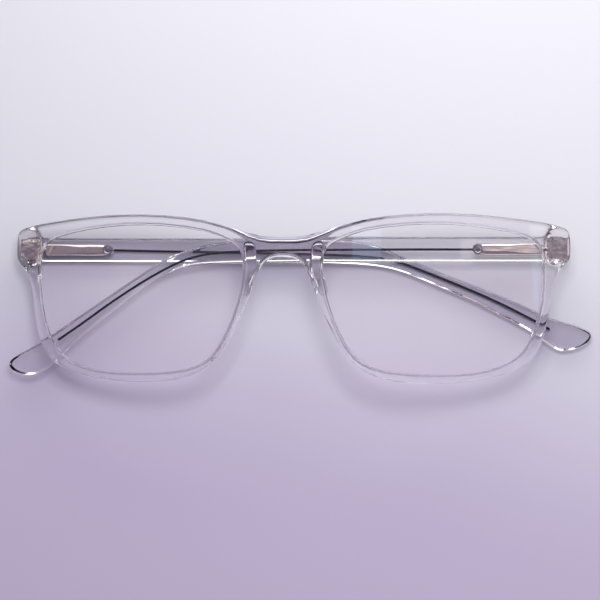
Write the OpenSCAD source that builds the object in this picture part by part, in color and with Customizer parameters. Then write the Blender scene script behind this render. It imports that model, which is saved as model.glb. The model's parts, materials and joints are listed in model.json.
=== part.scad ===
// Folding spectacles with a clear full-rim front, spring hinges and wire-cored temples.
// Millimetres. They lie folded on the XY plane with the front facing up: +X is the wearer's left,
// +Y is the wearer's up, and the outer temple's flat outer face rests on z = 0.
// The origin is the bottom centre of the whole folded object's box.

/* [Front] */
// Thickness of the front's sheet
sheet_t = 3.8; // [3.4:0.1:4.2]
// Radius that the front is bent to, seen from above the wearer
wrap_r = 200; // [170:10:240]
// Thickness of a lens
lens_t = 2.0; // [1.6:0.1:2.2]
// How far a lens reaches into the groove of its rim
bevel = 0.6; // [0.4:0.1:0.8]

/* [Hinges] */
// Height of the hinge line above the lens centres
hinge_y = 12.95; // [12.6:0.05:13.2]
// Distance of each hinge pin from the middle of the bridge
hinge_x = 65.5; // [65.3:0.1:65.7]
// Depth of the hinge pins behind the crown of the bridge
hinge_depth = 18.2; // [17.8:0.1:19]
// Radius of the hinge screw's shank
pin_r = 0.6; // [0.5:0.05:0.65]

/* [Temples] */
// Thickness of a temple
temple_t = 3.0; // [2.8:0.1:3.1]
// How far each temple's folded angle differs from parallel to the front
stack_angle = 1.5; // [1.5:0.05:1.7]

/* [Hidden] */
$fn = 48;

// --- Front: right half of the outline, clockwise from the top of the bridge to its underside
half_outline = [[0, 15.1], [6, 15.5], [12, 17.2], [20, 19.4], [30, 20.7], [40, 21.05],
    [50, 20.6], [58, 19.8], [64.5, 18.9], [68.4, 17.9], [69.7, 16.6], [70, 13.2], [69.8, 10.2],
    [68.6, 8.8], [66.5, 6.2], [65.3, 1.5], [64.6, -4], [63.3, -9.6], [61, -14.1], [57, -17.2],
    [51.5, -18.9], [43.5, -20.3], [35, -20.75], [27, -20.1], [20.5, -18], [15.4, -13.6],
    [11.6, -7], [8.7, -0.4], [6.8, 5], [5.1, 8.5], [2.8, 9.9], [0, 10.3]];
// Opening for the wearer's left lens, clockwise
opening = [[14, 14.5], [20, 16.7], [30, 18.1], [40, 18.4], [50, 17.5], [58, 15.9], [61.7, 13.9],
    [62.9, 11.2], [63.2, 6], [62.8, 0], [61.7, -5], [60, -9.7], [57.2, -13.6], [52.5, -16.4],
    [46, -18], [38, -18.4], [30, -18.2], [24, -17.4], [19.6, -15.7], [16.3, -12.4], [13.6, -7.5],
    [11.4, -1.8], [10, 4.2], [9.8, 9], [11, 12.6]];
rim_top = 21.05;
rim_bottom = -20.75;
outline_steps = 2;
opening_steps = 2;
lens_inset = 0.9;
groove_play = 0.05;

// --- End pieces: solid corners that carry the hinges
end_inner_x = 63.7;
end_bottom = 8.5;
end_top = 18.4;

// --- Hinge, measured from the pin: u runs along the temple, v up, w towards the front when folded
butt = 1.8;
butt_gap = 0.05;
ear_r = 1.45;
eye_r = 1.4;
eye_half = 1.36;
ear_in = 1.42;
ear_out = 2.62;
bore_play = 0.03;
plate_t = 0.9;
plate_in = 1.2;
plate_out = 3.4;
prong_r = 0.45;
prong_len = 1.8;
screw_head_r = 1.0;
screw_head_t = 0.5;
slot_w = 0.3;

// --- Spring case and what runs inside it
case_start = 2.4;
case_end = 19.9;
case_half = 1.4;
case_t = 2.6;
wall_front = 1.2;
bore_r = 0.95;
bore_end = 14.6;
shaft_r = 0.5;
shaft_end = 12.9;
stop_r = 0.85;
stop_len = 1.0;
spring_r = 0.7;
spring_wire_r = 0.13;
spring_turns = 9;
turn_steps = 14;
wire_sides = 6;
rivet_r = 0.6;
rivet_head_r = 1.2;
rivet_head_t = 0.45;

// --- Temple: the inner face is in_w below the pin, and the outer face a thickness further
in_w = 0.4;
out_w = in_w + temple_t;
notch_w = 1.75;
notch_u = 2.4;
notch_half = 2.85;
recess_play = 0.03;
temple_steps = 2;
wire_steps = 3;
core_h = 0.6;
core_t = 0.8;
// Side views of the two temples from the butt, clockwise. Their ear bends differ as worn.
// The wearer's right temple folds last and lies outermost, and its bend is the shallower one.
profile_right = [[-butt, 3.2], [20, 3.1], [50, 3.0], [70, 2.8], [82, 2.2], [88, 0.7],
    [93, -1.4], [98, -3.5], [104, -6.1], [113, -9.5], [122, -13.2], [130, -16.8], [136.5, -18.8],
    [140.2, -20.4], [141, -21.8], [139.6, -23.6], [136.6, -25], [133, -25.3], [129.8, -23.6],
    [125.5, -20.6], [119, -17.0], [111, -13.0], [103, -9.6], [96, -6.7], [90, -4.8], [82, -3.8],
    [68, -3.4], [45, -3.3], [20, -3.2], [-butt, -3.2]];
profile_left = [[-butt, 3.2], [20, 3.2], [50, 3.2], [68, 3.0], [79, 2.3], [87, 1.1], [93, -0.6],
    [98.5, -3.0], [105, -7.2], [113, -12.6], [121.5, -18.4], [127.5, -22.5], [133.4, -25.7],
    [136.8, -27.7], [138, -29.4], [136.8, -31.1], [133.4, -32.2], [129.8, -31.6], [126, -29.0],
    [121.5, -24.6], [115.5, -19.4], [108.5, -14.0], [101.8, -9.0], [96, -5.8], [90, -4.1],
    [80, -3.5], [65, -3.2], [40, -3.2], [20, -3.2], [-butt, -3.2]];
// Centre lines of the core wires
core_right = [[19.3, 0], [34, -0.3], [62, -0.9], [82, -1.5], [91, -2.6], [98, -5.0], [106, -8.2],
    [115, -12], [123, -15.9], [130.6, -19.9]];
core_left = [[19.3, 0], [40, 0], [66, -0.2], [82, -0.7], [90, -1.9], [96, -4.2], [104, -8.7],
    [112, -14], [118.5, -18.7], [125, -23.2]];
reach_right = 141;
reach_left = 138;

// --- Where things lie
table_x = (reach_left - reach_right) / 2;
table_y = -(rim_top + rim_bottom) / 2;
stack_rise = hinge_x * sin(stack_angle);
mid_pin_z = out_w + stack_rise;
pin_x = hinge_x * cos(stack_angle);
end_back = -hinge_depth + butt + butt_gap;

// Catmull-Rom curve through points a, b, c, d, at t between b and c
function through(a, b, c, d, t) =
    0.5 * (2 * b + (c - a) * t + (2 * a - 5 * b + 4 * c - d) * t * t
    + (3 * b - a - 3 * c + d) * t * t * t);
function closed_curve(p, n) = [for (i = [0 : len(p) - 1], k = [0 : n - 1])
    through(p[(i + len(p) - 1) % len(p)], p[i], p[(i + 1) % len(p)], p[(i + 2) % len(p)], k / n)];
// The curve keeps its two ends, and nothing rounds the corners there
function open_curve(p, n) = concat([for (i = [0 : len(p) - 2], k = [0 : n - 1])
    through(p[max(i - 1, 0)], p[i], p[i + 1], p[min(i + 2, len(p) - 1)], k / n)], [p[len(p) - 1]]);
// The unit normal on the left of a curve's direction of travel
function left_of(t) = [-t.y, t.x] / norm(t);
function outset(p, d) = [for (i = [0 : len(p) - 1])
    p[i] + d * left_of(p[(i + 1) % len(p)] - p[(i + len(p) - 1) % len(p)])];
function beside(p, d) = [for (i = [0 : len(p) - 1])
    p[i] + d * left_of(p[min(i + 1, len(p) - 1)] - p[max(i - 1, 0)])];
function reversed(p) = [for (i = [len(p) - 1 : -1 : 0]) p[i]];
function ribbon(p, width) = concat(beside(p, width / 2), reversed(beside(p, -width / 2)));
function mirrored(p) = [for (q = p) [-q.x, q.y]];
function inner_points(p) = [for (i = [1 : len(p) - 2]) p[i]];
function whole_outline() = concat(half_outline, mirrored(reversed(inner_points(half_outline))));

// --- Frames of reference
// The front is drawn level with the crown of its bridge at the origin, and tipped onto the stack
module on_table() {
    translate([table_x, table_y, mid_pin_z])
        rotate([0, -stack_angle, 0])
            translate([0, 0, hinge_depth]) children();
}
// side is 1 for the wearer's left and -1 for the wearer's right
module on_side(side) {
    if (side > 0) children();
    else mirror([1, 0, 0]) children();
}
// Hinge parts of the front, drawn about the pin of the wearer's left hinge
module at_front_pin(side) {
    on_table() on_side(side) translate([hinge_x, hinge_y, -hinge_depth]) children();
}
// Temple parts, drawn about their pin with the temple running along +X
module at_temple_pin(side) {
    translate([table_x + side * pin_x, table_y + hinge_y, mid_pin_z + side * stack_rise])
        on_side(-side) children();
}

// --- Shapes
module standing_cylinder(r, h) {
    rotate([90, 0, 0]) cylinder(r = r, h = h, center = true);
}
module wrap_cylinder(r) {
    translate([0, 0, -wrap_r]) standing_cylinder(r, 80, $fn = 180);
}
module prism(points, low, high) {
    translate([0, 0, low]) linear_extrude(height = high - low) polygon(points);
}
// A part of the bent sheet between two depths below its front surface
module bent(points, from, to) {
    intersection() {
        prism(points, -30, 1);
        difference() {
            wrap_cylinder(wrap_r - from);
            wrap_cylinder(wrap_r - to);
        }
    }
}
module end_zone() {
    for (side = [-1, 1]) on_side(side)
        translate([end_inner_x, end_bottom, -30]) cube([20, end_top - end_bottom, 40]);
}

// --- Front
module front_frame() color([0.86, 0.86, 0.9, 0.45]) on_table() difference() {
    intersection() {
        prism(closed_curve(whole_outline(), outline_steps), end_back, 1);
        difference() {
            wrap_cylinder(wrap_r);
            difference() {
                wrap_cylinder(wrap_r - sheet_t);
                end_zone();
            }
        }
    }
    for (side = [-1, 1]) on_side(side) {
        prism(closed_curve(opening, opening_steps), -30, 2);
        bent(outset(closed_curve(opening, opening_steps), bevel + groove_play),
            lens_inset - groove_play, lens_inset + lens_t + groove_play);
        translate([hinge_x, hinge_y, -hinge_depth]) {
            hinge_plate();
            hinge_prongs();
        }
    }
}
module lens(side) color([0.8, 0.85, 0.95, 0.3]) on_table() on_side(side)
    bent(outset(closed_curve(opening, opening_steps), bevel), lens_inset, lens_inset + lens_t);

// Built-up pad on the back of the nose side of a rim
module nose_pad(side) color([0.86, 0.86, 0.9, 0.5]) on_table() on_side(side) difference() {
    hull() {
        translate([8.4, 11, -4.6]) sphere(r = 1.5, $fn = 20);
        translate([8.7, 3.4, -4.6]) sphere(r = 1.3, $fn = 20);
        translate([7.7, 10.4, -9.2]) sphere(r = 1.2, $fn = 20);
        translate([8.1, 4, -8.4]) sphere(r = 1.0, $fn = 20);
    }
    difference() {
        wrap_cylinder(wrap_r + 10);
        wrap_cylinder(wrap_r - sheet_t);
    }
}

// --- Front half of a hinge: a plate and two prongs sunk in the end piece, and two ears
module hinge_plate() {
    translate([-plate_in, -ear_out, butt + butt_gap])
        cube([plate_in + plate_out, 2 * ear_out, plate_t]);
}
module hinge_prongs() {
    for (x = [0.1, 2.3]) translate([x, 0, butt + butt_gap + plate_t / 2])
        cylinder(r = prong_r, h = plate_t / 2 + prong_len);
}
module ear(low, high) {
    translate([0, (low + high) / 2, 0]) standing_cylinder(ear_r, high - low);
    translate([-plate_in, low, 0]) cube([plate_in + ear_r, high - low, butt + butt_gap + plate_t]);
}
module front_hinge(side) color([0.82, 0.74, 0.68]) at_front_pin(side) difference() {
    union() {
        hinge_plate();
        hinge_prongs();
        ear(-ear_out, -ear_in);
        ear(ear_in, ear_out);
    }
    standing_cylinder(pin_r + bore_play, 10);
    translate([0, ear_out - screw_head_t + 1, 0]) standing_cylinder(screw_head_r + bore_play, 2);
}
module hinge_screw(side) color([0.72, 0.7, 0.68]) at_front_pin(side) difference() {
    union() {
        standing_cylinder(pin_r, 2 * ear_out);
        translate([0, ear_out - screw_head_t / 2, 0]) standing_cylinder(screw_head_r, screw_head_t);
    }
    translate([-2, ear_out - 0.25, -slot_w / 2]) cube([4, 1, slot_w]);
}

// --- Temple half of a hinge
module hinge_slider(side) color([0.78, 0.76, 0.74]) at_temple_pin(side) difference() {
    union() {
        standing_cylinder(eye_r, 2 * eye_half);
        rotate([0, 90, 0]) cylinder(r = shaft_r, h = shaft_end);
    }
    standing_cylinder(pin_r + bore_play, 10);
}
module spring_stop(side) color([0.6, 0.6, 0.62]) at_temple_pin(side)
    translate([shaft_end - stop_len, 0, 0]) rotate([0, 90, 0]) difference() {
        cylinder(r = stop_r, h = stop_len);
        translate([0, 0, -1]) cylinder(r = shaft_r, h = stop_len + 2);
    }
module case_body(play) {
    translate([case_start - play, -case_half - play, -case_t / 2 - play])
        cube([case_end - case_half - case_start + play, 2 * (case_half + play), case_t + 2 * play]);
    translate([case_end - case_half, 0, -case_t / 2 - play])
        cylinder(r = case_half + play, h = case_t + 2 * play);
}
module spring_case(side) color([0.85, 0.78, 0.72]) at_temple_pin(side) difference() {
    case_body(0);
    rotate([0, 90, 0]) {
        cylinder(r = shaft_r + 0.06, h = bore_end);
        translate([0, 0, case_start + wall_front])
            cylinder(r = bore_r, h = bore_end - case_start - wall_front);
    }
    translate([case_end - case_half, 0, -5]) cylinder(r = rivet_r, h = 10);
}
module case_rivet(side) color([0.8, 0.72, 0.66]) at_temple_pin(side)
    translate([case_end - case_half, 0, 0]) {
        translate([0, 0, -out_w + 0.8]) cylinder(r = rivet_r, h = out_w - 0.8 + case_t / 2);
        translate([0, 0, case_t / 2]) cylinder(r1 = rivet_head_r, r2 = rivet_head_r * 0.7,
            h = rivet_head_t);
    }

// Compression spring round the slider's shaft, as rings of a helical tube
spring_from = case_start + wall_front + spring_wire_r + 0.02;
spring_to = shaft_end - stop_len - spring_wire_r - 0.02;
function coil_point(i, j) =
    let (turn = 360 * i / turn_steps, around = 360 * j / wire_sides,
        r = spring_r + spring_wire_r * cos(around))
    [spring_from + (spring_to - spring_from) * i / (spring_turns * turn_steps)
        + spring_wire_r * sin(around), r * cos(turn), r * sin(turn)];
module spring(side) color([0.55, 0.56, 0.58]) at_temple_pin(side) {
    rings = spring_turns * turn_steps;
    points = [for (i = [0 : rings], j = [0 : wire_sides - 1]) coil_point(i, j)];
    walls = [for (i = [0 : rings - 1], j = [0 : wire_sides - 1])
        [i * wire_sides + j, i * wire_sides + (j + 1) % wire_sides,
            (i + 1) * wire_sides + (j + 1) % wire_sides, (i + 1) * wire_sides + j]];
    ends = [reversed([for (j = [0 : wire_sides - 1]) j]),
        [for (j = [0 : wire_sides - 1]) rings * wire_sides + j]];
    polyhedron(points, concat(walls, ends));
}

// --- Temple and its core
module core(points, play) {
    prism(ribbon(open_curve(points, wire_steps), core_h + 2 * play),
        -case_t / 2 - core_t - play, -case_t / 2);
}
module temple(profile, core_line, side) color([0.86, 0.86, 0.9, 0.45])
    at_temple_pin(side) difference() {
        prism(concat([profile[0]], open_curve(inner_points(profile), temple_steps),
            [profile[len(profile) - 1]]), -out_w, -in_w);
        translate([-butt - 1, -notch_half, -notch_w]) cube([butt + 1 + notch_u, 2 * notch_half, 5]);
        case_body(recess_play);
        translate([case_end - case_half, 0, -out_w + 0.8]) cylinder(r = rivet_r, h = 5);
        core(core_line, 0);
    }
module core_wire(core_line, side) color([0.35, 0.3, 0.28]) at_temple_pin(side) difference() {
    core(core_line, 0);
    translate([case_end - case_half, 0, -5]) cylinder(r = rivet_r, h = 10);
}

// --- The assembly
front_frame();
lens(1);  // lens_left
lens(-1);  // lens_right
nose_pad(1);  // nose_pad_left
nose_pad(-1);  // nose_pad_right
front_hinge(1);  // front_hinge_left
front_hinge(-1);  // front_hinge_right
hinge_screw(1);  // hinge_screw_left
hinge_screw(-1);  // hinge_screw_right
hinge_slider(1);  // hinge_slider_left
hinge_slider(-1);  // hinge_slider_right
spring_stop(1);  // spring_stop_left
spring_stop(-1);  // spring_stop_right
spring(1);  // spring_left
spring(-1);  // spring_right
spring_case(1);  // spring_case_left
spring_case(-1);  // spring_case_right
case_rivet(1);  // case_rivet_left
case_rivet(-1);  // case_rivet_right
core_wire(core_left, 1);  // core_wire_left
core_wire(core_right, -1);  // core_wire_right
temple(profile_left, core_left, 1);  // temple_left
temple(profile_right, core_right, -1);  // temple_right
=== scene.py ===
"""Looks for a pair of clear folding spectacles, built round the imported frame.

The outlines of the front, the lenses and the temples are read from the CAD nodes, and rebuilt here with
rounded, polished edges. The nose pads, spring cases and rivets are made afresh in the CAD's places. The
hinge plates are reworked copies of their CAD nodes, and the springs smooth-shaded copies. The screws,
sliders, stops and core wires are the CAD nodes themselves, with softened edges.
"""
import json
import math

import bmesh
import bpy
import numpy as np
from mathutils import Matrix, Vector
from mathutils.geometry import delaunay_2d_cdt


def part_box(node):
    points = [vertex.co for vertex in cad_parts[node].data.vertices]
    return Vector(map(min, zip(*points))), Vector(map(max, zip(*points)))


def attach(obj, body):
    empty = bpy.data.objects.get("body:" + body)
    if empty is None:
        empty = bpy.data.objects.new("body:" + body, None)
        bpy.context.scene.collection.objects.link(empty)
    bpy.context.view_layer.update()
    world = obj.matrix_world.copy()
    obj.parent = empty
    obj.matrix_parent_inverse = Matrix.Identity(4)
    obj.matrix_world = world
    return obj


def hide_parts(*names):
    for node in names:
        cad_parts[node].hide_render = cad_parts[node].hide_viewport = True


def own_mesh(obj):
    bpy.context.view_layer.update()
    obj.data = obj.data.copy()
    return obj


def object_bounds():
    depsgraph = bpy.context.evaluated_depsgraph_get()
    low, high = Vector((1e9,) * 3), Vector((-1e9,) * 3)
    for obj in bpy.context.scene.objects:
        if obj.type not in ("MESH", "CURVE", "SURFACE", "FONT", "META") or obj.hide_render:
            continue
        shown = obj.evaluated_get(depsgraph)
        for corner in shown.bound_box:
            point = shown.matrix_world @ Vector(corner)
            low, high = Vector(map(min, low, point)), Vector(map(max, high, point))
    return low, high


MM = 0.001
SIDES = ("left", "right")
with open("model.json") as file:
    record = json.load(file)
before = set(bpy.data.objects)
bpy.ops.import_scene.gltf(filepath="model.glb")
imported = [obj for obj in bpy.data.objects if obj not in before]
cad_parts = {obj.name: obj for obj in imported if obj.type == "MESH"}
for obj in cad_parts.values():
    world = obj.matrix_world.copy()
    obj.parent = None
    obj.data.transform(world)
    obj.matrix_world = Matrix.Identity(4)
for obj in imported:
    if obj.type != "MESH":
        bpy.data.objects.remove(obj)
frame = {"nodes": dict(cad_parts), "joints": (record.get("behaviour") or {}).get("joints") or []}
cad_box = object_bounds()
nodes = frame["nodes"]
joints = {j["name"]: j for j in frame["joints"]}
pin = {side: Vector(joints["open_" + side]["pos_m"]) for side in SIDES}

# The front lies tipped on the two temples. Its own frame starts midway between the hinge pins.
across = pin["left"] - pin["right"]
tip_angle = math.atan2(across.z, across.x)
front_place = Matrix.Translation((pin["left"] + pin["right"]) / 2) @ Matrix.Rotation(-tip_angle, 4, "Y")

# Sizes that the looks share with the design, in millimetres
SHEET_T = 3.8
WRAP_R = 200
LENS_INSET = 0.9
LENS_T = 2.0
GROOVE = 0.6
GROOVE_PLAY = 0.05
END_INNER_X = 63.7
END_LOW, END_HIGH = -4.3, 5.45  # of the end pieces, from the height of the pins
END_CORNER = 3.0
END_BLEND = 0.7  # each way from their outline, over which they reach back
CASE_START = 2.4
CASE_END = 19.9
CASE_HALF = 1.4
CASE_TOP = 1.3
NOTCH_U = 2.4
NOTCH_W = 1.75
NOTCH_HALF = 2.85
NOTCH_PAST = 4  # beyond the pin, off the temple's end


# --- Outlines -------------------------------------------------------------------------------------------

def facing_loop(node, towards, place=Matrix.Identity(4)):
    """The closed edge loops, longest first, round a CAD node's foremost face along towards, in place's
    frame, in millimetres. Each is an array of x, y, z rows."""
    mesh = bmesh.new()
    mesh.from_mesh(nodes[node].data)
    mesh.transform(place.inverted())
    bmesh.ops.remove_doubles(mesh, verts=mesh.verts, dist=1e-6)
    facing = {f for f in mesh.faces if f.normal.dot(towards) > 0.85}
    seed = max(facing, key=lambda f: f.calc_center_median().dot(towards))
    region, todo = {seed}, [seed]
    while todo:
        for edge in todo.pop().edges:
            for f in edge.link_faces:
                if f in facing and f not in region:
                    region.add(f)
                    todo.append(f)
    rim = {e for f in region for e in f.edges if sum(g in region for g in e.link_faces) == 1}
    loops = []
    while rim:
        edge = min(rim, key=lambda e: e.index)
        start = vert = edge.verts[0]
        loop = []
        while edge is not None:
            rim.discard(edge)
            loop.append(vert.co / MM)
            vert = edge.other_vert(vert)
            edge = next((e for e in vert.link_edges if e in rim), None) if vert is not start else None
        loops.append(np.array(loop))
    mesh.free()
    return sorted(loops, key=lambda p: -np.linalg.norm(np.roll(p, -1, 0) - p, axis=1).sum())


def unit(v):
    return v / np.maximum(np.linalg.norm(v, axis=-1, keepdims=True), 1e-12)


def even_curve(points, spacing, corner=40, soft=0.0):
    """A smooth closed curve through points, as evenly spaced points. It keeps corners sharper than corner
    degrees, and soft then rounds everything over about that length."""
    ahead = np.roll(points, -1, 0) - points
    behind = np.roll(ahead, 1, 0)
    la, lb = np.linalg.norm(ahead, axis=1, keepdims=True), np.linalg.norm(behind, axis=1, keepdims=True)
    tangent = unit(unit(ahead) * lb + unit(behind) * la)
    sharp = (unit(ahead) * unit(behind)).sum(1) < math.cos(math.radians(corner))
    leave = np.where(sharp[:, None], unit(ahead), tangent)
    arrive = np.roll(np.where(sharp[:, None], unit(behind), tangent), -1, 0)
    pieces = []
    for t in np.arange(8) / 8:
        h = (2 * t**3 - 3 * t**2 + 1, t**3 - 2 * t**2 + t, 3 * t**2 - 2 * t**3, t**3 - t**2)
        pieces.append(h[0] * points + h[1] * la * leave + h[2] * np.roll(points, -1, 0) + h[3] * la * arrive)
    dense = np.stack(pieces, 1).reshape(-1, points.shape[1])
    length = np.concatenate([[0], np.cumsum(np.linalg.norm(np.roll(dense, -1, 0) - dense, axis=1))])
    count = int(length[-1] / spacing)
    at = np.arange(count) * length[-1] / count
    closed = np.vstack([dense, dense[:1]])
    curve = np.stack([np.interp(at, length, closed[:, k]) for k in range(points.shape[1])], 1)
    if soft:
        reach = int(3 * soft / spacing) + 1
        weights = np.exp(-0.5 * (np.arange(-reach, reach + 1) * spacing / soft) ** 2)
        weights /= weights.sum()
        curve = sum(w * np.roll(curve, k, 0) for w, k in zip(weights, range(-reach, reach + 1)))
    return curve


def signed_area(p):
    return 0.5 * (p[:, 0] * np.roll(p[:, 1], -1) - np.roll(p[:, 0], -1) * p[:, 1]).sum()


def counter_clockwise(p):
    return p if signed_area(p) > 0 else p[::-1]


def inset(p, distance):
    """A counter-clockwise curve moved inwards by distance, or outwards if it is negative."""
    tangent = unit(np.roll(p, -1, 0) - np.roll(p, 1, 0))
    return p + distance * np.stack([-tangent[:, 1], tangent[:, 0]], 1)


def room_inside(p):
    """The radius of the largest circle inside a counter-clockwise curve that touches it at each point."""
    tangent = unit(np.roll(p, -1, 0) - np.roll(p, 1, 0))
    inward = np.stack([-tangent[:, 1], tangent[:, 0]], 1)
    away = p[None] - p[:, None]
    depth = (away * inward[:, None]).sum(2)
    radius = (away**2).sum(2) / (2 * np.maximum(depth, 1e-9))
    return np.where(depth > 1e-6, radius, np.inf).min(1)


def inside(points, curve):
    """Which points lie inside a closed curve."""
    a, b = curve, np.roll(curve, -1, 0)
    x, y = points[:, :1], points[:, 1:]
    crosses = (a[:, 1] > y) != (b[:, 1] > y)
    at = a[:, 0] + (y - a[:, 1]) * (b[:, 0] - a[:, 0]) / np.where(crosses, b[:, 1] - a[:, 1], 1)
    return (crosses & (x < at)).sum(1) % 2 == 1


# --- Meshes ---------------------------------------------------------------------------------------------

SHARP = 40  # degrees at which an edge stays sharp, unless a piece says otherwise
ROOM_SHARE = 0.85  # of the room inside an outline that its rounding may take up
GRID_GAP = 0.55  # of a step, between a face's grid and its rims
LATHE_SEGMENTS = 40


def make_piece(name, verts, faces, sharp=SHARP):
    """A smooth-shaded mesh object, from points in metres."""
    mesh = bpy.data.meshes.new(name)
    mesh.from_pydata([tuple(v) for v in verts], [], faces)
    bm = bmesh.new()
    bm.from_mesh(mesh)
    bmesh.ops.remove_doubles(bm, verts=bm.verts, dist=1e-7)
    bmesh.ops.recalc_face_normals(bm, faces=bm.faces)
    bm.to_mesh(mesh)
    bm.free()
    mesh.shade_smooth()
    mesh.set_sharp_from_angle(angle=math.radians(sharp))
    piece = bpy.data.objects.new(name, mesh)
    bpy.context.scene.collection.objects.link(piece)
    return piece


def slab(name, outline, holes, edge, hole_edge, lift, step, sharp=SHARP, growth=None):
    """A sheet with rounded edges. edge and hole_edge list (inset, face, drop) rings from the front face
    round to the back one, face 0 or 1, and drop measured from that face into the sheet. lift turns x, y
    rows with their face and drop into points in metres. growth gives how many times wider and deeper the
    outline's rounding is at each of its points."""
    curves = [(outline, edge, 1)] + [(hole, hole_edge, -1) for hole in holes]
    verts, faces, count = [], [], 0
    rims = {0: [], 1: []}
    for curve, section, sign in curves:
        n = len(curve)
        wider, deeper = growth(curve) if growth and sign == 1 else (np.ones(n), np.ones(n))
        if sign == 1:
            wider = np.minimum(wider, ROOM_SHARE * room_inside(curve) / max(row[0] for row in section))
        for k, (distance, face, drop) in enumerate(section):
            ring = inset(curve, sign * distance * wider[:, None])
            verts.append(lift(ring, face, drop * deeper))
            if k:
                start = count + k * n
                faces += [(start - n + i, start + i, start + (i + 1) % n, start - n + (i + 1) % n)
                          for i in range(n)]
        rims[0].append((inset(curve, sign * section[0][0] * wider[:, None]), count))
        rims[1].append((inset(curve, sign * section[-1][0] * wider[:, None]), count + (len(section) - 1) * n))
        count += n * len(section)
    low, high = outline.min(0), outline.max(0)
    grid = np.stack(np.meshgrid(np.arange(low[0], high[0], step), np.arange(low[1], high[1], step)), -1)
    grid = grid.reshape(-1, 2)
    grid[:, 0] += step / 2 * (np.round((grid[:, 1] - low[1]) / step) % 2)
    for face, rims_here in rims.items():
        near = np.min([np.linalg.norm(grid[:, None] - rim[None], axis=2).min(1)
                       for rim, _ in rims_here], axis=0)
        kept = inside(grid, rims_here[0][0]) & (near > GRID_GAP * step)
        for rim, _ in rims_here[1:]:
            kept &= ~inside(grid, rim)
        points, edges, index = [], [], []
        for rim, first in rims_here:
            base = len(index)
            n = len(rim)
            points.append(rim)
            index += range(first, first + n)
            edges += [(base + i, base + (i + 1) % n) for i in range(n)]
        points.append(grid[kept])
        index += range(count, count + int(kept.sum()))
        verts.append(lift(grid[kept], face, 0.0))
        count += int(kept.sum())
        flat = np.vstack(points)
        made, _, triangles, origin, _, _ = delaunay_2d_cdt(
            [Vector(p) for p in flat], edges, [], 1, 1e-6)
        made = np.array([tuple(v) for v in made])
        triangles = np.array(triangles)
        middle = made[triangles].mean(1)
        good = inside(middle, rims_here[0][0])
        for rim, _ in rims_here[1:]:
            good &= ~inside(middle, rim)
        crossing = [i for i, o in enumerate(origin) if not o]
        verts.append(lift(made[crossing].reshape(-1, 2), face, 0.0))
        place = {i: index[o[0]] for i, o in enumerate(origin) if o}
        place |= {i: count + k for k, i in enumerate(crossing)}
        count += len(crossing)
        faces += [tuple(place[i] for i in t) for t in triangles[good]]
    return make_piece(name, np.vstack(verts), faces, sharp)


def round_edge(radius, face, steps=4, width=None):
    """The rings of a quarter round from a face to the wall, or back from the wall to the face. It is
    radius deep and, unless width says otherwise, as wide."""
    angles = np.linspace(0, math.pi / 2, steps + 1)
    rings = [((width or radius) * (1 - math.sin(a)), face, radius * (1 - math.cos(a))) for a in angles]
    return rings if face == 0 else rings[::-1]


def flat_lift(top, bottom):
    """Lift for a flat sheet between two heights in metres."""
    def lift(xy, face, drop):
        z = top - drop * MM if face == 0 else bottom + drop * MM
        return np.column_stack([xy * MM, np.full(len(xy), z)])
    return lift


def lathe(name, profile, centre):
    """A turned piece from (radius, height) rows in millimetres, on an upright axis through centre."""
    n = LATHE_SEGMENTS
    angles = np.arange(n) * 2 * math.pi / n
    verts, faces = [], []
    for r, h in profile:
        r = max(r, 1e-4)
        verts += [centre + Vector((r * math.cos(a), r * math.sin(a), h)) * MM for a in angles]
    for k in range(len(profile) - 1):
        for i in range(n):
            j = (i + 1) % n
            faces.append((k * n + i, k * n + j, (k + 1) * n + j, (k + 1) * n + i))
    faces.append(tuple(range(n)))
    faces.append(tuple((len(profile) - 1) * n + i for i in range(n)))
    return make_piece(name, verts, faces, 35)


def cut(piece, low, high):
    """Takes a box between two corners out of a piece."""
    bm = bmesh.new()
    bmesh.ops.create_cube(bm, size=1)
    size = Vector(high) - Vector(low)
    middle = (Vector(high) + Vector(low)) / 2
    bmesh.ops.transform(bm, matrix=Matrix.Translation(middle) @ Matrix.Diagonal((*size, 1)), verts=bm.verts)
    mesh = bpy.data.meshes.new("cutter")
    bm.to_mesh(mesh)
    bm.free()
    cutter = bpy.data.objects.new("cutter", mesh)
    bpy.context.scene.collection.objects.link(cutter)
    boolean = piece.modifiers.new("cut", "BOOLEAN")
    boolean.operation = "DIFFERENCE"
    boolean.solver = "EXACT"
    boolean.object = cutter
    apply_modifiers(piece)
    bpy.data.objects.remove(cutter)
    piece.data.set_sharp_from_angle(angle=math.radians(SHARP))


def apply_modifiers(piece):
    """Makes a piece's modified shape its mesh."""
    bpy.context.view_layer.update()
    result = bpy.data.meshes.new_from_object(piece.evaluated_get(bpy.context.evaluated_depsgraph_get()))
    piece.modifiers.clear()
    piece.data = result


BEVEL_ANGLE = 35  # degrees from which an edge of a CAD node is softened


def soften_node(name, width, segments):
    """Rounds the edges of a CAD node that stays as it is."""
    node = nodes[name]
    weld = node.modifiers.new("weld", "WELD")
    weld.merge_threshold = 1e-6
    bevel = node.modifiers.new("edges", "BEVEL")
    bevel.width = width * MM
    bevel.segments = segments
    bevel.limit_method = "ANGLE"
    bevel.angle_limit = math.radians(BEVEL_ANGLE)
    bevel.use_clamp_overlap = True
    bevel.harden_normals = False
    node.data.shade_smooth()
    normals = node.modifiers.new("normals", "WEIGHTED_NORMAL")
    normals.keep_sharp = False
    return node


def finish_piece(piece, body, slot, material, *replaced):
    """Gives a piece its material and body, and the place of the CAD nodes named last. slot is not used."""
    piece.data.materials.clear()
    piece.data.materials.append(material)
    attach(piece, body)
    if replaced:
        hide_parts(*replaced)


# --- Materials ------------------------------------------------------------------------------------------

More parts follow.
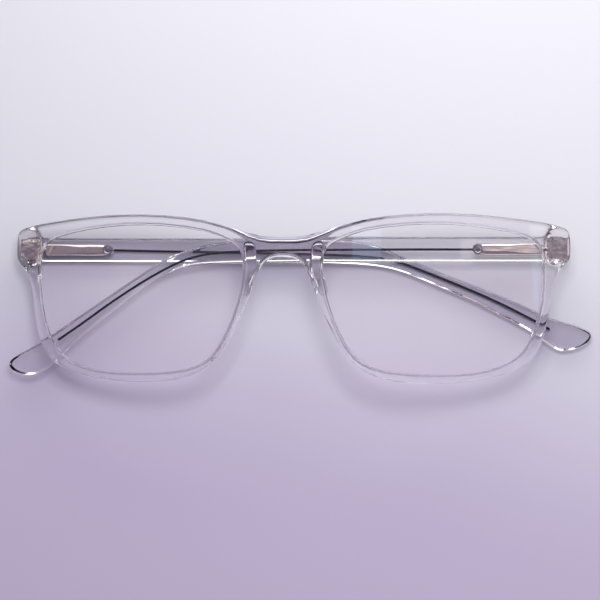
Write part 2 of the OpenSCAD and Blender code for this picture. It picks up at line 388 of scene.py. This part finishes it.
# Noise scales, per metre
PLASTIC_WAVES, PLASTIC_GRAIN = 90, 900
METAL_CLOUDS, METAL_GRAIN, METAL_LUMPS = 260, 2500, 650
WAVE_HEIGHT, GRAIN_HEIGHT = 0.0004, 0.00005  # of bumps, in metres
POLISHED = (0.0, 0.03)  # lowest and highest roughness
GROUND = (0.35, 0.55)
FILM_IOR = 1.38


def new_material(name):
    material = bpy.data.materials.new(name)
    material.use_nodes = True
    tree = material.node_tree
    return material, tree, tree.nodes["Principled BSDF"]


def add(tree, kind, **settings):
    made = tree.nodes.new(kind)
    for key, value in settings.items():
        if key in made.inputs:
            made.inputs[key].default_value = value
        else:
            setattr(made, key, value)
    return made


def coordinates(tree, scale=(1, 1, 1)):
    place = add(tree, "ShaderNodeTexCoord")
    mapping = add(tree, "ShaderNodeMapping", Scale=scale)
    tree.links.new(place.outputs["Object"], mapping.inputs["Vector"])
    return mapping.outputs["Vector"]


def noise(tree, vector, scale, detail=3.0):
    made = add(tree, "ShaderNodeTexNoise", Scale=scale, Detail=detail)
    tree.links.new(vector, made.inputs["Vector"])
    return made.outputs["Fac"]


def spread(tree, value, low, high):
    """A 0 to 1 value, mostly near 0.5, as one between low and high."""
    made = add(tree, "ShaderNodeMapRange")
    made.inputs["From Min"].default_value = 0.3
    made.inputs["From Max"].default_value = 0.7
    made.inputs["To Min"].default_value = low
    made.inputs["To Max"].default_value = high
    tree.links.new(value, made.inputs["Value"])
    return made.outputs["Result"]


def bump(tree, shader, height, strength, distance, under=None):
    """Relief on a shader, laid over an earlier bump node's relief if there is one."""
    made = add(tree, "ShaderNodeBump", Strength=strength, Distance=distance)
    tree.links.new(height, made.inputs["Height"])
    if under:
        tree.links.new(under.outputs["Normal"], made.inputs["Normal"])
    tree.links.new(made.outputs["Normal"], shader.inputs["Normal"])
    return made


def tint_between(tree, value, dark, light):
    made = add(tree, "ShaderNodeMix", data_type="RGBA")
    made.inputs[6].default_value = (*dark, 1)
    made.inputs[7].default_value = (*light, 1)
    tree.links.new(value, made.inputs[0])
    return made.outputs[2]


def let_lamps_through(tree, shader, facing, grazing):
    """Clear plastic casts a light shadow, darker where the light meets it at a slant."""
    lean = add(tree, "ShaderNodeLayerWeight", Blend=0.5)
    shade = tint_between(tree, lean.outputs["Facing"], facing, grazing)
    clear = add(tree, "ShaderNodeBsdfTransparent")
    tree.links.new(shade, clear.inputs["Color"])
    path = add(tree, "ShaderNodeLightPath")
    surface = shader.outputs[0]
    for ray in ("Is Diffuse Ray", "Is Shadow Ray"):
        mix = add(tree, "ShaderNodeMixShader")
        tree.links.new(path.outputs[ray], mix.inputs[0])
        tree.links.new(surface, mix.inputs[1])
        tree.links.new(clear.outputs[0], mix.inputs[2])
        surface = mix.outputs[0]
    tree.links.new(surface, tree.nodes["Material Output"].inputs["Surface"])


def clear_plastic(name, dark, light, ior, facing, grazing, ripple=0.0, rough=POLISHED, film=0):
    """A clear material. film is the thickness of its coating, in nanometres."""
    material, tree, shader = new_material(name)
    vector = coordinates(tree)
    shader.inputs["Transmission Weight"].default_value = 1
    shader.inputs["IOR"].default_value = ior
    if film:
        shader.inputs["Thin Film Thickness"].default_value = film
        shader.inputs["Thin Film IOR"].default_value = FILM_IOR
    slow = noise(tree, vector, PLASTIC_WAVES, 2)
    fine = noise(tree, vector, PLASTIC_GRAIN, 3)
    tree.links.new(tint_between(tree, slow, dark, light), shader.inputs["Base Color"])
    tree.links.new(spread(tree, fine, *rough), shader.inputs["Roughness"])
    bump(tree, shader, slow, ripple, WAVE_HEIGHT)
    let_lamps_through(tree, shader, facing, grazing)
    return material


def metal(name, dark, light, rough, grain=(1, 1, 1), scratch=0.06, lumps=0.0):
    """A metal with fine scratches, stretched by grain, and with slow lumps if there are any."""
    material, tree, shader = new_material(name)
    vector = coordinates(tree, grain)
    shader.inputs["Metallic"].default_value = 1
    fine = noise(tree, vector, METAL_GRAIN, 4)
    cloudy = noise(tree, vector, METAL_CLOUDS, 3)
    tree.links.new(tint_between(tree, cloudy, dark, light), shader.inputs["Base Color"])
    tree.links.new(spread(tree, fine, rough * 0.75, rough * 1.35), shader.inputs["Roughness"])
    coarse = None
    if lumps:
        height = noise(tree, coordinates(tree), METAL_LUMPS, 1)
        coarse = bump(tree, shader, height, lumps, WAVE_HEIGHT)
    bump(tree, shader, fine, scratch, GRAIN_HEIGHT, coarse)
    return material


acetate = clear_plastic("clear_acetate", (0.98, 0.965, 0.985), (1.0, 0.995, 1.0), 1.49,
                        (0.92, 0.905, 0.94), (0.12, 0.10, 0.15), ripple=0.05)
lens_clear = clear_plastic("coated_lens", (0.985, 0.985, 1.0), (1.0, 1.0, 1.0), 1.56,
                           (1.0, 0.99, 1.0), (0.85, 0.82, 0.88), film=155)
ground_edge = clear_plastic("ground_edge", (0.60, 0.56, 0.66), (0.72, 0.68, 0.76), 1.56,
                            (0.7, 0.68, 0.75), (0.3, 0.28, 0.35), rough=GROUND)
case_metal = metal("case_metal", (0.80, 0.68, 0.58), (0.92, 0.82, 0.74), 0.16, (0.12, 1, 1))
rivet_metal = metal("rivet_metal", (0.34, 0.31, 0.33), (0.50, 0.46, 0.48), 0.2)
hinge_metal = metal("hinge_metal", (0.58, 0.50, 0.47), (0.84, 0.75, 0.71), 0.17, (1, 0.3, 1), 0.02, 0.8)
# Painted shade: the core wire's metal is near black, standing in for the dark reflections that a pale real
# wire shows
painted_dark_wire_metal = metal("core_metal", (0.010, 0.008, 0.009), (0.035, 0.025, 0.020), 0.30, (0.1, 1, 1), 0.12)
steel = metal("screw_steel", (0.46, 0.45, 0.45), (0.66, 0.65, 0.64), 0.28)


# --- The front ------------------------------------------------------------------------------------------

front_loops = facing_loop("front_frame", Vector((0, 0, 1)), front_place)
front_mesh = nodes["front_frame"].data
local_z = [(front_place.inverted() @ v.co).z / MM for v in front_mesh.vertices]
crown, end_back = max(local_z), min(local_z)


def smooth_step(value, low, high):
    """0 up to low and 1 from high, with an even curve between them."""
    t = np.clip((value - low) / (high - low), 0, 1)
    return t * t * (3 - 2 * t)


EDGE_TURN = 0.6  # sideways share of an edge's direction where it counts fully as lower or upper


def lower_edge(curve):
    """1 along the lower edges of a counter-clockwise curve and 0 along its upper ones."""
    return smooth_step(unit(np.roll(curve, -1, 0) - np.roll(curve, 1, 0))[:, 0], -EDGE_TURN, EDGE_TURN)


def bent_height(x, depth):
    """The height of the bent sheet, depth below its front face, in the front's own frame."""
    return crown - WRAP_R + np.sqrt((WRAP_R - depth) ** 2 - x**2)


def to_world(local):
    """Points of the front's own frame, in millimetres, in the row frame, in metres."""
    turn = np.array(front_place.to_3x3())
    return local * MM @ turn.T + np.array(front_place.translation)


def front_lift(xy, face, drop):
    """The bent sheet, with end pieces that reach back to the hinges."""
    x, y = xy[:, 0], xy[:, 1]
    back = np.maximum(bent_height(x, SHEET_T), end_back)
    far = END_INNER_X + END_CORNER - np.abs(x)
    high = np.abs(y - (END_LOW + END_HIGH) / 2) - (END_HIGH - END_LOW) / 2 + END_CORNER
    beyond = np.hypot(np.maximum(far, 0), np.maximum(high, 0)) + np.minimum(np.maximum(far, high), 0)
    zone = smooth_step(END_CORNER - beyond, -END_BLEND, END_BLEND)
    back = back + (end_back - back) * zone
    z = bent_height(x, 0) - drop if face == 0 else back + drop
    return to_world(np.column_stack([x, y, z]))


BRIDGE_FROM, BRIDGE_TO = 14, 6  # from the middle, where its extra rounding starts and is full
BRIDGE_MORE = 0.9
LOW_FROM, LOW_TO = 8, 20  # the same for the rims' lower edges, from the height of the pins
LOW_MORE = 0.45


def bridge_growth(xy):
    """The bridge's upper edge and the rims' lower edges are rounded more than the rest."""
    bridge = smooth_step(-np.abs(xy[:, 0]), -BRIDGE_FROM, -BRIDGE_TO) * smooth_step(xy[:, 1], -1, 1)
    low = lower_edge(xy) * smooth_step(-xy[:, 1], LOW_FROM, LOW_TO)
    more = 1 + BRIDGE_MORE * bridge + LOW_MORE * low
    return more, more


groove_top = LENS_INSET - GROOVE_PLAY
groove_low = LENS_INSET + LENS_T + GROOVE_PLAY
rim_edge = [(0.8, 0, 0.0)] + round_edge(0.55, 0) + round_edge(1.05, 1, 6) + [(1.2, 1, 0.0)]
opening_edge = ([(0.6, 0, 0.0)] + round_edge(0.35, 0, 3)
                + [(0.0, 0, groove_top), (GROOVE + GROOVE_PLAY, 0, groove_top),
                   (GROOVE + GROOVE_PLAY, 0, groove_low), (0.0, 0, groove_low)]
                + round_edge(0.6, 1, 4) + [(0.8, 1, 0.0)])
outline = counter_clockwise(even_curve(front_loops[0][:, :2], 0.55, soft=0.3))
openings = [counter_clockwise(even_curve(loop[:, :2], 0.55, soft=0.25)) for loop in front_loops[1:3]]
front = slab("front_sheet", outline, openings, rim_edge, opening_edge, front_lift, 0.9,
             growth=bridge_growth)
finish_piece(front, "front", "clear_acetate", acetate, "front_frame")


# --- The lenses -----------------------------------------------------------------------------------------

def lens_lift(xy, face, drop):
    """A lens in the grooves, bent like the front."""
    x, y = xy[:, 0], xy[:, 1]
    depth = LENS_INSET + (drop if face == 0 else LENS_T - drop)
    return to_world(np.column_stack([x, y, bent_height(x, depth)]))


BEVEL_FACING = 0.9  # a lens face that faces forward less than this is on its ground edge
lens_edge = [(1.2, 0, 0.0), (0.45, 0, 0.0), (0.0, 0, 0.75), (0.0, 1, 0.75), (0.45, 1, 0.0), (1.2, 1, 0.0)]
for side in SIDES:
    loop = facing_loop("lens_" + side, Vector((0, 0, 1)), front_place)[0][:, :2]
    shape = counter_clockwise(even_curve(loop, 0.6, soft=0.25))
    lens = slab("lens_shell_" + side, shape, [], lens_edge, [], lens_lift, 1.6, 25)
    finish_piece(lens, "front", "coated_lens", lens_clear, "lens_" + side)
    lens.data.materials.append(ground_edge)
    for polygon in lens.data.polygons:
        if abs((front_place.to_3x3().inverted() @ polygon.normal).z) < BEVEL_FACING:
            polygon.material_index = 1


# --- Nose pads ------------------------------------------------------------------------------------------

PAD_TOP, PAD_LENGTH = 1.2, 13.4  # its top, from the height of the pins
PAD_PATH = np.polyfit([-0.95, -3.95, -5.95, -8.75, -10.95], [8.3, 7.95, 8.25, 8.85, 9.5], 2)
PAD_HALF = 1.45
PAD_ROUND = 1.3  # height of its upper end's rounding
PAD_SLOPE = 0.13  # how fast it thickens downwards
PAD_SLOPE_FROM = 0.5
PAD_THIN = 0.06  # by which its ends lie inside the rim
PAD_CLOSE = 7.0  # length over which its lower end closes
PAD_SINK = 0.15  # into the rim, so that the two read as one clear mass
PAD_SQUARE = 0.45  # 1 is a half ellipse across, and 0 a box


def quarter(share):
    """Rises from 0 to 1 as a quarter circle does."""
    return np.sqrt(1 - (1 - np.clip(share, 0, 1)) ** 2)


def signed_power(v, power):
    return np.sign(v) * np.abs(v) ** power


def nose_pad(side):
    """A clear mass on the back of the nose side of a rim, thicker towards its lower end."""
    sign = 1 if side == "left" else -1
    rows, across = 44, 28
    verts = []
    turn = np.linspace(0, math.pi, across)
    for down in PAD_LENGTH * (1 - np.cos(np.linspace(0, math.pi, rows))) / 2:
        y = PAD_TOP - down
        closing = smooth_step(PAD_LENGTH - down, -0.5, PAD_CLOSE)
        thick = PAD_ROUND * quarter(down / PAD_ROUND) + PAD_SLOPE * max(down - PAD_SLOPE_FROM, 0)
        thick = thick * closing - PAD_THIN
        half = PAD_HALF * quarter(down / PAD_HALF) * quarter((PAD_LENGTH - down) / PAD_ROUND / 2)
        x = np.polyval(PAD_PATH, y) + half * signed_power(np.cos(turn), PAD_SQUARE)
        z = bent_height(x, SHEET_T) + PAD_SINK - (thick + PAD_SINK) * np.sin(turn) ** PAD_SQUARE
        verts.append(np.column_stack([sign * x, np.full(across, y), z]))
    faces = [(k * across + i, k * across + (i + 1) % across, (k + 1) * across + (i + 1) % across,
              (k + 1) * across + i) for k in range(rows - 1) for i in range(across)]
    return make_piece("pad_" + side, to_world(np.vstack(verts)), faces, 60)


for side in SIDES:
    finish_piece(nose_pad(side), "front", "clear_acetate", acetate, "nose_pad_" + side)


# --- The temples ----------------------------------------------------------------------------------------

TIP_FROM, TIP_TO = 0.088, 0.118  # along the temple from its pin, in metres
TIP_MORE = 0.1
TOP_WIDE, TOP_DEEP = 0.7, 0.75  # rounding of the upper edge, as shares of the lower edge's


def tip_growth(side):
    """A temple is rounded more on its lower edge, and over more of its width towards its tip."""
    def growth(xy):
        along = smooth_step(np.abs(xy[:, 0] * MM - pin[side].x), TIP_FROM, TIP_TO)
        low = lower_edge(xy)
        return TOP_WIDE + (1 - TOP_WIDE) * low + TIP_MORE * along, TOP_DEEP + (1 - TOP_DEEP) * low
    return growth


temple_edge = [(0.8, 0, 0.0)] + round_edge(0.5, 0, 5) + round_edge(1.9, 1, 9, 1.25) + [(1.4, 1, 0.0)]
for side in SIDES:
    name = "temple_" + side
    low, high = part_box(name)
    loop = facing_loop(name, Vector((0, 0, -1)))[0][:, :2]
    shape = counter_clockwise(even_curve(loop, 0.55, soft=0.35))
    temple = slab("temple_bar_" + side, shape, [], temple_edge, [], flat_lift(high.z, low.z), 1.3,
                  growth=tip_growth(side))
    towards_tip = -1 if side == "left" else 1
    ends = sorted([pin[side].x - towards_tip * NOTCH_PAST * MM, pin[side].x + towards_tip * NOTCH_U * MM])
    cut(temple, (ends[0], pin[side].y - NOTCH_HALF * MM, pin[side].z - NOTCH_W * MM),
        (ends[1], pin[side].y + NOTCH_HALF * MM, high.z + MM))
    finish_piece(temple, "arm_" + side, "clear_acetate", acetate, name)


# --- Spring cases and their rivets ----------------------------------------------------------------------

CASE_ROUND_R = 1.12  # of its end at the rivet
CASE_STRAIGHT = 7  # length over which it hardly narrows
CASE_PINCH = 0.02  # by which each side has come in there
CRISP_WIDE, CRISP_DEEP = 0.35, 0.45  # its rounding at the hinge, as shares of that at the rivet
CRISP_TO, ROUND_FROM = 0.0055, 0.0125  # from the pin, in metres


def case_outline():
    """Seen from above, from the hinge end along +x. It narrows towards the round end at the rivet."""
    r, turned = CASE_ROUND_R, CASE_START + CASE_STRAIGHT
    points = [(CASE_START, -CASE_HALF), (turned, -CASE_HALF + CASE_PINCH)]
    points += [(CASE_END - r + r * math.sin(a), -r * math.cos(a)) for a in np.linspace(0, math.pi, 9)]
    points += [(turned, CASE_HALF - CASE_PINCH), (CASE_START, CASE_HALF)]
    return np.array(points)


def case_growth(side):
    """A case's edges are crisp at the hinge and broadly rounded at the rivet."""
    def growth(xy):
        along = smooth_step(np.abs(xy[:, 0] * MM - pin[side].x), CRISP_TO, ROUND_FROM)
        return CRISP_WIDE + (1 - CRISP_WIDE) * along, CRISP_DEEP + (1 - CRISP_DEEP) * along
    return growth


case_edge = [(0.95, 0, 0.0)] + round_edge(0.85, 0, 6) + round_edge(0.3, 1, 2) + [(0.5, 1, 0.0)]
for side in SIDES:
    towards_tip = -1 if side == "left" else 1
    shape = case_outline() * (towards_tip, 1) + np.array(pin[side].xy) / MM
    shape = counter_clockwise(even_curve(counter_clockwise(shape), 0.3, corner=30, soft=0.18))
    top, bottom = pin[side].z + CASE_TOP * MM, pin[side].z - CASE_TOP * MM
    case = slab("case_cover_" + side, shape, [], case_edge, [], flat_lift(top, bottom), 0.5,
                growth=case_growth(side))
    finish_piece(case, "arm_" + side, "case_metal", case_metal, "spring_case_" + side)
    centre = Vector((pin[side].x + towards_tip * (CASE_END - CASE_HALF) * MM, pin[side].y, top))
    rivet = lathe("rivet_" + side, [(0.5, -3.0), (0.5, -0.1), (1.34, -0.1), (1.36, 0.12), (1.22, 0.34),
                                    (0.98, 0.42), (0.86, 0.30), (0.74, 0.26), (0.55, 0.34), (0.0, 0.44)],
                  centre)
    finish_piece(rivet, "arm_" + side, "case_metal", rivet_metal, "case_rivet_" + side)


# --- Hinge plates on the front ---------------------------------------------------------------------------

PLATE_FRONT = 2.75  # its front face, in front of the pins
PLATE_CROWN = 0.6
PRONG_FRONT = 4.1
PRONG_LIP = 0.16
PRONG_HOLLOW = 0.25
LEVEL = 0.02  # how near an edge lies to a height to count as on it


def hinge_half(side):
    """The CAD hinge with a crowned plate, dimpled prong ends and softened edges."""
    bm = bmesh.new()
    bm.from_mesh(nodes["front_hinge_" + side].data)
    bm.transform(front_place.inverted())
    bmesh.ops.scale(bm, vec=(1 / MM,) * 3, verts=bm.verts)
    bmesh.ops.remove_doubles(bm, verts=bm.verts, dist=1e-3)
    bmesh.ops.dissolve_limit(bm, angle_limit=math.radians(1), verts=bm.verts, edges=bm.edges)

    def level(edge, height):
        return all(abs(v.co.z - height) < LEVEL for v in edge.verts)

    straight = [e for e in bm.edges if level(e, PLATE_FRONT) and e.calc_length() > 1]
    bmesh.ops.bevel(bm, geom=straight, offset=PLATE_CROWN, segments=5, profile=0.6, affect="EDGES",
                    clamp_overlap=True)
    ends = [f for f in bm.faces if all(level(e, PRONG_FRONT) for e in f.edges)]
    bmesh.ops.inset_individual(bm, faces=ends, thickness=PRONG_LIP)
    bmesh.ops.translate(bm, vec=(0, 0, -PRONG_HOLLOW), verts=list({v for f in ends for v in f.verts}))
    verts = [front_place @ (v.co * MM) for v in bm.verts]
    bm.verts.index_update()
    faces = [tuple(v.index for v in f.verts) for f in bm.faces]
    bm.free()
    return make_piece("hinge_leaf_" + side, verts, faces, 35)


for side in SIDES:
    leaf = hinge_half(side)
    finish_piece(leaf, "front", "hinge_metal", hinge_metal, "front_hinge_" + side)


# --- CAD nodes that stay --------------------------------------------------------------------------------

KEPT = {  # material, width of its softened edges in millimetres, and their segments
    "core_wire": (painted_dark_wire_metal, 0.32, 4),
    "hinge_screw": (steel, 0.12, 3),
    "hinge_slider": (hinge_metal, 0.08, 2),
    "spring_stop": (steel, 0.06, 2),
}
for kind, (material, width, segments) in KEPT.items():
    for side in SIDES:
        node = soften_node(f"{kind}_{side}", width, segments)
        node.data.materials.clear()
        node.data.materials.append(material)


# --- Springs --------------------------------------------------------------------------------------------

def spring_coil(side):
    """A smooth-shaded copy of the CAD coil, riding with its temple."""
    coil = bpy.data.objects.new("coil_" + side, nodes["spring_" + side].data.copy())
    bpy.context.scene.collection.objects.link(coil)
    coil.data.shade_smooth()
    finish_piece(coil, "arm_" + side, "screw_steel", steel, "spring_" + side)
    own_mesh(coil)


for side in SIDES:
    spring_coil(side)


# --- Stage, light and camera ----------------------------------------------------------------------------

# The floor's colour carries a painted light falloff, lit towards +Y and shaded towards the near side
FLOOR_PAINTED_SHADE = (0.560, 0.510, 0.607)
FLOOR_PAINTED_LIT = (0.688, 0.708, 0.680)
PAINTED_FALLOFF_FROM, PAINTED_FALLOFF_TO = -0.060, 0.022  # mostly along +Y, in metres
PAINTED_FALLOFF_LEAN = 0.15  # how much +X counts beside +Y


def stage_floor():
    """A pale sheet with a painted light falloff, darker and more lavender towards the near left."""
    material, tree, shader = new_material("floor_painted_falloff")
    vector = coordinates(tree)
    lean = add(tree, "ShaderNodeVectorMath", operation="DOT_PRODUCT")
    lean.inputs[1].default_value = (PAINTED_FALLOFF_LEAN, 1, 0)
    tree.links.new(vector, lean.inputs[0])
    painted_falloff = add(tree, "ShaderNodeMapRange", interpolation_type="SMOOTHSTEP")
    painted_falloff.inputs["From Min"].default_value = PAINTED_FALLOFF_FROM
    painted_falloff.inputs["From Max"].default_value = PAINTED_FALLOFF_TO
    tree.links.new(lean.outputs["Value"], painted_falloff.inputs["Value"])
    # painted light falloff: the sheet's colour darkens towards the near left
    colour = tint_between(tree, painted_falloff.outputs["Result"], FLOOR_PAINTED_SHADE, FLOOR_PAINTED_LIT)
    mottle = tint_between(tree, noise(tree, vector, 14, 4), (0.985, 0.98, 0.985), (1.0, 1.0, 1.0))
    both = add(tree, "ShaderNodeMix", data_type="RGBA", blend_type="MULTIPLY")
    both.inputs[0].default_value = 1
    tree.links.new(colour, both.inputs[6])
    tree.links.new(mottle, both.inputs[7])
    tree.links.new(both.outputs[2], shader.inputs["Base Color"])
    shader.inputs["Roughness"].default_value = 0.55
    shader.inputs["Specular IOR Level"].default_value = 0.25
    bpy.ops.mesh.primitive_plane_add(size=4, location=(0, 0, cad_box[0][2] - 0.00003))
    floor = bpy.context.object
    floor.name = "floor"
    floor.data.materials.append(material)


def area_light(name, place, aim, width, height, power, colour, mirrored=True):
    """A soft lamp. With mirrored off, its own image shows neither in nor through the glasses."""
    data = bpy.data.lights.new(name, "AREA")
    data.shape = "RECTANGLE"
    data.size, data.size_y = width, height
    data.energy = power
    data.color = colour
    light = bpy.data.objects.new(name, data)
    light.location = place
    light.rotation_euler = (Vector(aim) - Vector(place)).to_track_quat("-Z", "Y").to_euler()
    light.visible_camera = False
    light.visible_glossy = mirrored
    light.visible_transmission = mirrored
    bpy.context.scene.collection.objects.link(light)


def room_light(strength):
    """A soft room: bright towards +Y, where the window is, and darker on the near side."""
    world = bpy.data.worlds.new("room")
    world.use_nodes = True
    bpy.context.scene.world = world
    tree = world.node_tree
    place = add(tree, "ShaderNodeTexCoord")
    split = add(tree, "ShaderNodeSeparateXYZ")
    tree.links.new(place.outputs["Generated"], split.inputs[0])
    ramp = add(tree, "ShaderNodeValToRGB")
    ramp.color_ramp.elements[0].position = 0.2
    ramp.color_ramp.elements[0].color = (0.24, 0.20, 0.29, 1)
    ramp.color_ramp.elements[1].position = 0.95
    ramp.color_ramp.elements[1].color = (1.0, 1.0, 1.0, 1)
    middle = ramp.color_ramp.elements.new(0.55)
    middle.color = (0.35, 0.305, 0.43, 1)
    along = add(tree, "ShaderNodeMapRange")
    along.inputs["From Min"].default_value = -1
    along.inputs["From Max"].default_value = 1
    tree.links.new(split.outputs["Y"], along.inputs["Value"])
    tree.links.new(along.outputs["Result"], ramp.inputs["Fac"])
    tree.links.new(ramp.outputs["Color"], tree.nodes["Background"].inputs["Color"])
    tree.nodes["Background"].inputs["Strength"].default_value = strength


LIGHTS = {  # place, aim, width, height, power, colour, and whether its image shows
    "key": ((0.045, 0.085, 0.36), (0.0, 0.0, 0.01), 0.10, 0.10, 0.84, (0.86, 0.82, 1.0), False),
    "window": ((0.03, 0.20, 0.11), (0.0, 0.02, 0.0), 0.34, 0.10, 0.31, (0.97, 0.97, 1.0)),
    "right": ((0.24, 0.05, 0.16), (0.02, 0.0, 0.0), 0.12, 0.16, 0.065, (1.0, 0.97, 1.0)),
    "sill": ((0.0, 0.34, 0.035), (0.0, 0.0, 0.01), 0.6, 0.05, 0.13, (1.0, 0.98, 1.0)),
    "above": ((0.058, 0.040, 0.45), (0.058, 0.040, 0.0), 0.044, 0.016, 0.003, (1.0, 0.97, 0.98)),
}
ROOM = 0.74

CAMERA_AIM = Vector((1.4, -0.17, 12.0)) * MM
CAMERA_DISTANCE = 0.4916
CAMERA_TILT = math.radians(1.97)  # towards -Y from straight above
CAMERA_SWING = math.radians(5.58)  # towards +X
CAMERA_ROLL = math.radians(0.33)
CAMERA_LENS = 118.1  # on a sensor 36 wide


def photo_camera():
    """The photograph's viewpoint, fitted to the outlines of the folded glasses."""
    data = bpy.data.cameras.new("camera")
    data.lens = CAMERA_LENS
    data.sensor_width = 36
    data.clip_start = 0.01
    camera = bpy.data.objects.new("camera", data)
    bpy.context.scene.collection.objects.link(camera)
    out = Vector((math.sin(CAMERA_SWING) * math.cos(CAMERA_TILT), -math.sin(CAMERA_TILT),
                  math.cos(CAMERA_SWING) * math.cos(CAMERA_TILT)))
    right = Vector((0, 1, 0)).cross(out).normalized()
    up = out.cross(right)
    turned_right = right * math.cos(CAMERA_ROLL) + up * math.sin(CAMERA_ROLL)
    turned_up = out.cross(turned_right)
    turn = Matrix((turned_right, turned_up, out)).transposed().to_4x4()
    camera.matrix_world = Matrix.Translation(CAMERA_AIM + out * CAMERA_DISTANCE) @ turn
    bpy.context.scene.camera = camera


stage_floor()
for name, settings in LIGHTS.items():
    area_light(name, *settings)
room_light(ROOM)
photo_camera()
scene = bpy.context.scene
scene.view_settings.view_transform = "Standard"
scene.cycles.use_denoising = True
scene.cycles.caustics_reflective = False
scene.cycles.caustics_refractive = False
scene.cycles.max_bounces = 16
scene.cycles.transmission_bounces = 16
scene.cycles.transparent_max_bounces = 24
